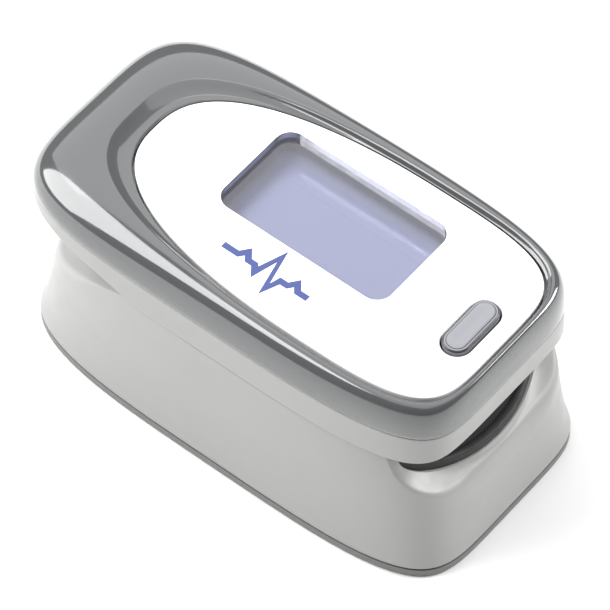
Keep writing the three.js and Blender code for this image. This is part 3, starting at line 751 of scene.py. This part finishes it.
def hinge():
    """The pivot pin with rounded ends, and the two torsion springs on it."""
    half = PIN_LENGTH / 2
    pin_end = [(0.01, half), (0.6, half - 0.02), (0.82, half - 0.14), (PIN_RADIUS, half - 0.35)]
    pin = [(radius, -x) for radius, x in pin_end] + pin_end[::-1]
    pivot = lathe("pivot_pin", pin, (0, PIN_Y, PIN_Z), "x", 40)
    finish_piece(pivot, "lower", "steel", ["hinge_pin"])
    first, last, radius, turns, wire = 3.2, 6.9, 2.1, 4, 0.33
    for side, name in ((-1, "left"), (1, "right")):
        turn = np.linspace(-0.1 * math.pi, (-0.1 + 2 * turns) * math.pi, 36 * turns)
        x = side * np.linspace(first, last, len(turn))
        coil = np.stack([x, PIN_Y + radius * np.cos(turn), PIN_Z + radius * np.sin(turn)], 1)
        lower_leg = [(side * first, PIN_Y + 3.0, 14.1), (side * first, PIN_Y + 2.4, 15.9)]
        upper_leg = [(side * last, PIN_Y + 3.2, PIN_Z + 2.0), (side * last, PIN_Y + 4.6, PIN_Z + 2.9)]
        path = spline([*lower_leg, *coil[::4], *upper_leg], 260)
        spring = tube(f"clip_spring_{name}", path, wire)
        finish_piece(spring, None, "steel", [f"torsion_spring_{name}"], weighted=False)
        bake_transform(spring)


def screw(name, x, y, seat, length, body, node):
    """Pan-head screw, driven from below: a cross recess in its head and a thread on its shank."""
    head, rise, shank, pitch = 1.35, 0.6, 0.7, 0.42
    root = shank - 0.13
    profile = [(0.01, 0.0), (head - 0.42, 0.0), (head - 0.15, 0.07), (head - 0.02, 0.25), (head, 0.4),
               (head - 0.04, rise), (shank, rise + 0.02)]
    for k in range(int((length - rise - 0.5) / pitch)):
        z = rise + 0.25 + k * pitch
        profile += [(root, z), (root, z + 0.1), (shank, z + 0.2), (root, z + 0.3)]
    profile += [(shank - 0.2, length - 0.1), (0.2, length), (0.01, length)]
    piece = lathe(name, profile, (x, y, seat), "z", 36)
    arms = [block("cut", x - w, x + w, y - d, y + d, seat - 1, seat + 0.33, corner=0.1)
            for w, d in ((0.72, 0.15), (0.15, 0.72))]
    combine(piece, arms)
    finish_piece(piece, body, "steel", [node], weighted=False)


def ribbon():
    """Flat amber ribbon from the detector, round the front of the hinge, to the main board."""
    route = [(SENSOR_Y + 3.4, 13.1), (0, 13.1), (5.0, 13.15), (7.0, 14.6), (7.5, 17.5), (7.5, 20.5),
             (7.5, 22.1)]
    path = spline([(0, y, z) for y, z in route], 90)
    ahead = np.gradient(path, axis=0)
    ahead /= np.linalg.norm(ahead, axis=1)[:, None]
    outline = rounded_rect(0, 0, 3.8, 0.2, 0.09, steps=4)
    rings = []
    for point, forward in zip(path, ahead):
        up = np.cross(forward, [1, 0, 0])
        rings.append(point + np.outer(outline[:, 0], [1, 0, 0]) + np.outer(outline[:, 1], up))
    piece = loft("sensor_ribbon", rings)
    finish_piece(piece, None, "ribbon", ["flex_cable"], weighted=False)
    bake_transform(piece)


def sensor_lenses():
    """Clear windows over the detector and the emitter, with chamfered edges."""
    for name, body in (("detector", "lower"), ("emitter", "upper")):
        lo, hi = cad_corners(f"{name}_window")
        piece = block(f"{name}_lens", lo[0], hi[0], lo[1], hi[1], lo[2], hi[2], corner=0.9, edge=0.1)
        finish_piece(piece, body, "lens", [f"{name}_window"])


# ---- upper half ----
def bottom_of_upper(x, y):
    """Underside of the upper shell: the seam, the rear notch, and a low arch over the finger opening."""
    rise = 1.15 * (1 - ease(np.abs(x), 7.0, 14.2)) * (1 - ease(y, -26, -20))
    return smooth(y, *UPPER_NOTCH) + rise


def upper_shell():
    """Light grey shell between the seam and the cover, with the lugs that ride on the pin."""
    soft, brim = 0.3, 0.12
    edge = ring(R_PARTING, 0)
    floor = bottom_of_upper(edge[:, 0], edge[:, 1])
    rings = [ring(R_PARTING * share, PARTING_LOW) for share in (0.2, 0.6, 0.9)]
    rings += [ring(R_PARTING - d, PARTING_LOW - z) for d, z in ((0.18, 0), (0.06, 0.03), (0.0, brim))]
    for level in np.linspace(0.04, 1, 10):
        rings.append(ring(R_PARTING, PARTING_LOW - brim + (floor + soft - PARTING_LOW + brim) * level))
    for turn in np.linspace(0, math.pi / 2, 6)[1:]:
        rings.append(ring(R_PARTING - soft * (1 - math.cos(turn)), floor + soft * (1 - math.sin(turn))))
    for share in (0.96, 0.9, 0.8, 0.68, 0.54, 0.4, 0.25, 0.1):
        point = ring((R_PARTING - soft) * share, 0)
        point[:, 2] = bottom_of_upper(point[:, 0], point[:, 1])
        rings.append(point)
    body = loft("upper_shell", rings)
    bay = radii(inset({**PARTING, "rear": 25.5}, WALL))
    board_bay = loft("cut", [ring(bay, 22.3), ring(bay, 25)])
    hinge_room = block("cut", -11.0, 11.0, CHANNEL_END + 1.3, 15.6, 16, 21.5, corner=0.5)
    emitter_seat = block("cut", -3.0, 3.0, SENSOR_Y - 2.6, SENSOR_Y + 2.6, 20, 23, corner=0.3)
    ribbon_way = block("cut", -2.4, 2.4, CHANNEL_END + 1.6, CHANNEL_END + 3.0, 20, 23, corner=0.2)
    cuts = [channel_cut(UPPER_CHANNEL, -28.2, 3.0), board_bay, hinge_room, emitter_seat, ribbon_way]
    for x, y, seat in UPPER_SCREWS:
        cuts += [bore(1.65, 15, seat + 0.65, x, y, 36), bore(SCREW_BORE, 15, 25, x, y)]
    combine(body, cuts)
    lug_radius, lug_top = 2.0, 21.9
    lugs = []
    for side in (-1, 1):
        x0, x1 = sorted((side * 8.6, side * 10.4))
        lugs.append(block("lug", x0, x1, PIN_Y - lug_radius, PIN_Y + lug_radius, PIN_Z, lug_top, corner=0.05))
        lugs.append(lathe("lug", [(lug_radius, x0), (lug_radius, x1)], (0, PIN_Y, PIN_Z), "x", 48))
    combine(body, lugs, "UNION")
    combine(body, [pin_bore(11, 40)])
    finish_piece(body, "upper", "shell", ["upper_housing"], angle=38)


def bezel():
    """Gloss grey cover: a convex band up to a crest, then a dish down to the face panel's pocket."""
    hollow = radii(inset(PARTING, WALL))
    roof = radii(inset({**CREST, "rear": 24.5, "half": 14}, 0.8))
    pocket = radii(inset(PANEL, -0.26))
    rings = [ring(roof * share, WEB_BOTTOM) for share in (0.1, 0.5)]
    rings += [ring(roof, WEB_BOTTOM), ring(hollow, 24.4), ring(hollow, PARTING_HIGH + 0.1),
              ring(hollow + 0.1, PARTING_HIGH), ring(R_PARTING - 0.14, PARTING_HIGH),
              ring(R_PARTING - 0.04, PARTING_HIGH + 0.03)]
    rise = CREST_Z - PARTING_HIGH
    for turn in np.radians([1.6, 4, 7, 10.5, *range(14, 75, 4), 77.5, 80.5, 83, 85]):
        radius = R_PARTING + (R_CREST - R_PARTING) * (1 - math.cos(turn) ** COVER_FULLNESS)
        rings.append(ring(radius, PARTING_HIGH + rise * math.sin(turn) ** COVER_FULLNESS))
    brim = PANEL_TOP - 0.18
    # The crest is a tight fold; the dish inside it is slightly hollow.
    soft, hollow_depth, full_width = 0.22, 0.07, 2.5
    outer, fold = rings[-1], ring(R_CREST - 0.02, CREST_Z)
    dish_width = R_CREST - pocket
    head = ring(R_CREST - soft, CREST_Z - soft * (CREST_Z - brim) / dish_width)
    for t in np.linspace(0, 1, 6)[1:]:
        rings.append((1 - t) ** 2 * outer + 2 * t * (1 - t) * fold + t * t * head)
    rim = ring(pocket + 0.08, brim)
    for t in np.linspace(0, 1, 9)[1:]:
        point = head + (rim - head) * t
        point[:, 2] -= hollow_depth * np.minimum(dish_width, full_width) * math.sin(math.pi * t)
        rings.append(point)
    pocket_floor = PANEL_TOP - PANEL_THICK - GAP
    rings += [ring(pocket + 0.02, brim - 0.03), ring(pocket, brim - 0.1), ring(pocket, pocket_floor)]
    rings += [ring(pocket * share, pocket_floor) for share in (0.8, 0.2)]
    body = loft("bezel", rings)
    combine(body, [prism(rounded_rect(**WINDOW, grow=1.3), CUT_LOW, CUT_HIGH),
                   prism(rounded_rect(**BUTTON, grow=GAP), CUT_LOW, CUT_HIGH)])
    bosses = [lathe("boss", [(1.9, PARTING_HIGH + 0.15), (1.9, WEB_BOTTOM + 0.3)], (x, y, 0), "z", 36)
              for x, y, _ in UPPER_SCREWS]
    combine(body, bosses, "UNION")
    combine(body, [bore(1.0, CUT_LOW, WEB_BOTTOM + 0.1, x, y) for x, y, _ in UPPER_SCREWS])
    finish_piece(body, "upper", "cover", ["top_cover"], angle=30)


def face():
    """White face panel with a rounded edge, an opening for the screen and one for the button."""
    low, soft = PANEL_TOP - PANEL_THICK, 0.2
    rings = [ring(R_PANEL * share, low) for share in (0.2, 0.7)]
    rings += [ring(R_PANEL - 0.1, low), ring(R_PANEL, low + 0.1), ring(R_PANEL, PANEL_TOP - soft)]
    rings += [ring(R_PANEL - soft * (1 - math.cos(t)), PANEL_TOP - soft * (1 - math.sin(t)))
              for t in np.linspace(0, math.pi / 2, 6)[1:]]
    rings += [ring((R_PANEL - soft) * share, PANEL_TOP) for share in (0.98, 0.7, 0.2)]
    body = loft("face_plate", rings)
    # The button's opening is chamfered at its top.
    opening = [(0.2, CUT_LOW), (0.2, PANEL_TOP - 0.12), (0.32, PANEL_TOP), (0.32, CUT_HIGH)]
    combine(body, [prism(rounded_rect(**WINDOW), CUT_LOW, CUT_HIGH),
                   stack("cut", [(rounded_rect(**BUTTON, grow=grow), z) for grow, z in opening])])
    body.data.materials.append(look["panel"])
    body.data.materials.append(look["frame"])
    for side in body.data.polygons:
        x, y = side.center.x / MM - WINDOW["x"], side.center.y / MM - WINDOW["y"]
        at_window = abs(x) < WINDOW["width"] / 2 + 0.1 and abs(y) < WINDOW["length"] / 2 + 0.1
        side.material_index = 1 if at_window and abs(side.normal.z) < 0.5 else 0
    finish_piece(body, "upper", "panel", ["face_panel"])


def display():
    """Clear window flush with the face, a coved surround below it, and the screen at its foot."""
    def opening(grow):
        return rounded_rect(**WINDOW, grow=grow)

    low = PANEL_TOP - PANEL_THICK
    lens = stack("window_lens", [(opening(-0.03), low + 0.1), (opening(-0.03), PANEL_TOP - 0.005)])
    finish_piece(lens, "upper", "lens", ["display_window"])
    top, foot, cove = low - 0.02, SURROUND_FOOT + 0.02, 1.1
    layers = [(opening(1.0), top), (opening(1.0), foot), (opening(-cove - 0.1), foot)]
    layers += [(opening(-cove * (1 - math.sin(t))), foot + cove * (1 - math.cos(t)) + 0.02)
               for t in np.linspace(0, math.pi / 2, 12)]
    layers.append((opening(0.0), top))
    surround = stack("screen_surround", layers, closed=True)
    finish_piece(surround, "upper", "frame", ["display_frame"])
    lo, hi = cad_corners("display_screen")
    glass = block("screen_panel", lo[0], hi[0], lo[1], hi[1], lo[2], hi[2], corner=0.3, edge=0.05)
    finish_piece(glass, "upper", "screen", ["display_screen"])


def push_button():
    """Capsule cap with a rounded rim painted near-black as a painted dark reflection, a slightly hollow top
    and a flange below the web.
    """
    shoulder = BUTTON_TOP - 0.35
    layers = [(0.8, 24.9), (0.8, 25.4), (0.0, 25.42), (0.0, shoulder)]  # (grow, z)
    layers += [(-0.32 * (1 - math.cos(t)), shoulder + 0.3 * math.sin(t))
               for t in np.linspace(0, math.pi / 2, 7)[1:]]
    layers += [(-inward, BUTTON_TOP - drop)
               for inward, drop in ((0.4, 0.07), (0.5, 0.03), (0.7, 0.01), (1.1, 0.03), (1.5, 0.045))]
    body = stack("button_cap", [(rounded_rect(**BUTTON, grow=grow, steps=14), z) for grow, z in layers])
    body.data.materials.append(look["button"])
    # The second material, near-black, goes on the rim's faces: a painted dark reflection round the cap's top.
    body.data.materials.append(look["rim"])
    for side in body.data.polygons:
        on_painted_reflection_rim = side.center.z / MM > BUTTON_TOP - 0.33 and 0.2 < side.normal.z < 0.97
        side.material_index = 1 if on_painted_reflection_rim else 0
    finish_piece(body, "button", "button", ["power_button"], angle=50)


def ribbon_outline(points, width):
    """Closed flat outline of a line of the given width through points, with square ends."""
    points = np.asarray(points, float)
    ahead = np.diff(points, axis=0)
    ahead /= np.linalg.norm(ahead, axis=1)[:, None]
    side = np.stack([-ahead[:, 1], ahead[:, 0]], 1)
    joint = np.concatenate([[side[0]], side[:-1] + side[1:], [side[-1]]])
    joint /= np.linalg.norm(joint, axis=1)[:, None]
    reference = np.concatenate([side, side[-1:]])
    stretch = np.minimum(1 / np.abs((joint * reference).sum(1)).clip(0.35), 2.4)
    offset = joint * stretch[:, None] * width / 2
    return np.concatenate([points + offset, (points - offset)[::-1]])


def print_mark():
    """A plain pulse trace printed on the face."""
    trace = [(4.3, 0), (2.2, 0), (1.5, 0.9), (0.8, 0), (-0.1, 0), (-0.7, -0.8), (-1.8, 2.7),
             (-2.9, -1.9), (-3.6, 0), (-4.6, 0), (-5.3, 0.9), (-6.0, 0), (-7.4, 0)]
    base_line_x = -7.9
    points = np.array([(base_line_x + across, along) for along, across in trace])
    outline = ribbon_outline(points, 0.78)
    mark = stack("pulse_mark", [(outline, PANEL_TOP + 0.004), (outline, PANEL_TOP + 0.02)], folded=True)
    finish_piece(mark, "upper", "mark")


lower_shell()
base_pieces()
cells()
contacts()
hinge()
ribbon()
sensor_lenses()
upper_shell()
bezel()
face()
display()
push_button()
print_mark()
finish_piece(pad("lower_pad", LOWER_CHANNEL, 0.9), "lower", "rubber", ["lower_finger_pad"])
finish_piece(pad("upper_pad", UPPER_CHANNEL, 0.8), "upper", "rubber", ["upper_finger_pad"])
for number, place in enumerate(LOWER_SCREWS, 1):
    screw(f"base_screw_{number}", *place, 6.8, "lower", f"lower_screw_{number}")
for number, place in enumerate(UPPER_SCREWS, 1):
    screw(f"cover_screw_{number}", *place, 4.6, "upper", f"upper_screw_{number}")

# CAD nodes that stay as they are, with a better material.
for node, finish in (("detector", "dark"), ("emitter", "dark"), ("main_board", "board"),
                     ("button_switch", "dark")):
    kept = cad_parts[node]
    kept.data.materials.clear()
    kept.data.materials.append(look[finish])


# ---- camera, floor and light ----
def direction(azimuth, elevation):
    """Unit vector away from the object: azimuth in degrees, 0 along -Y and 90 along +X."""
    azimuth, elevation = math.radians(azimuth), math.radians(elevation)
    return Vector((math.sin(azimuth) * math.cos(elevation), -math.cos(azimuth) * math.cos(elevation),
                   math.sin(elevation)))


def camera():
    """The photograph's viewpoint, as it was solved from the object's outlines."""
    back, distance = direction(-51.02, 53.44), 540
    aim = Vector((-5.4, -5.0, 22.3))
    data = bpy.data.cameras.new("camera")
    data.lens, data.sensor_width = 295.1, 36
    data.clip_start, data.clip_end = 0.01, 20
    viewer = bpy.data.objects.new("camera", data)
    bpy.context.scene.collection.objects.link(viewer)
    viewer.location = (aim + back * distance) * MM
    viewer.rotation_mode = "QUATERNION"
    viewer.rotation_quaternion = (-back).to_track_quat("-Z", "Y")
    bpy.context.scene.camera = viewer


def softbox(name, azimuth, elevation, distance, width, height, strength):
    """White rectangular studio light that faces the object."""
    away = direction(azimuth, elevation)
    data = bpy.data.lights.new(name, "AREA")
    data.shape = "RECTANGLE"
    data.size, data.size_y = width * MM, height * MM
    data.energy = strength * data.size * data.size_y * math.pi
    lamp = bpy.data.objects.new(name, data)
    bpy.context.scene.collection.objects.link(lamp)
    lamp.location = Vector((0, 0, 20)) * MM + away * distance * MM
    lamp.rotation_mode = "QUATERNION"
    lamp.rotation_quaternion = away.to_track_quat("Z", "Y")


def floor():
    """Pale studio floor, a hair below the object."""
    points = level_ring(rounded_rect(0, 0, 4000, 4000, 400), -0.05)
    mesh = bpy.data.meshes.new("floor")
    mesh.from_pydata((points * MM).tolist(), [], [tuple(range(len(points)))])
    ground = bpy.data.objects.new("floor", mesh)
    bpy.context.scene.collection.objects.link(ground)
    ground.data.materials.append(moulded("floor_white", (0.86, 0.86, 0.86), 0.9, mottle=0.004, specular=0.1))


def studio():
    world = bpy.data.worlds.new("studio")
    bpy.context.scene.world = world
    world.use_nodes = True
    background = world.node_tree.nodes["Background"]
    background.inputs["Color"].default_value = (1, 1, 1, 1)
    background.inputs["Strength"].default_value = 0.14
    # Azimuth, elevation, distance, width, height and strength.
    softbox("overhead", 0, 88, 900, 900, 900, 1.4)
    softbox("rear_left", -151, 39, 700, 540, 740, 7.5)
    softbox("rear_right", 144, 43, 900, 900, 580, 1.8)
    softbox("front_right", 50, 30, 800, 420, 400, 13.5)
    bpy.context.scene.view_settings.view_transform = "Standard"


camera()
floor()
studio()
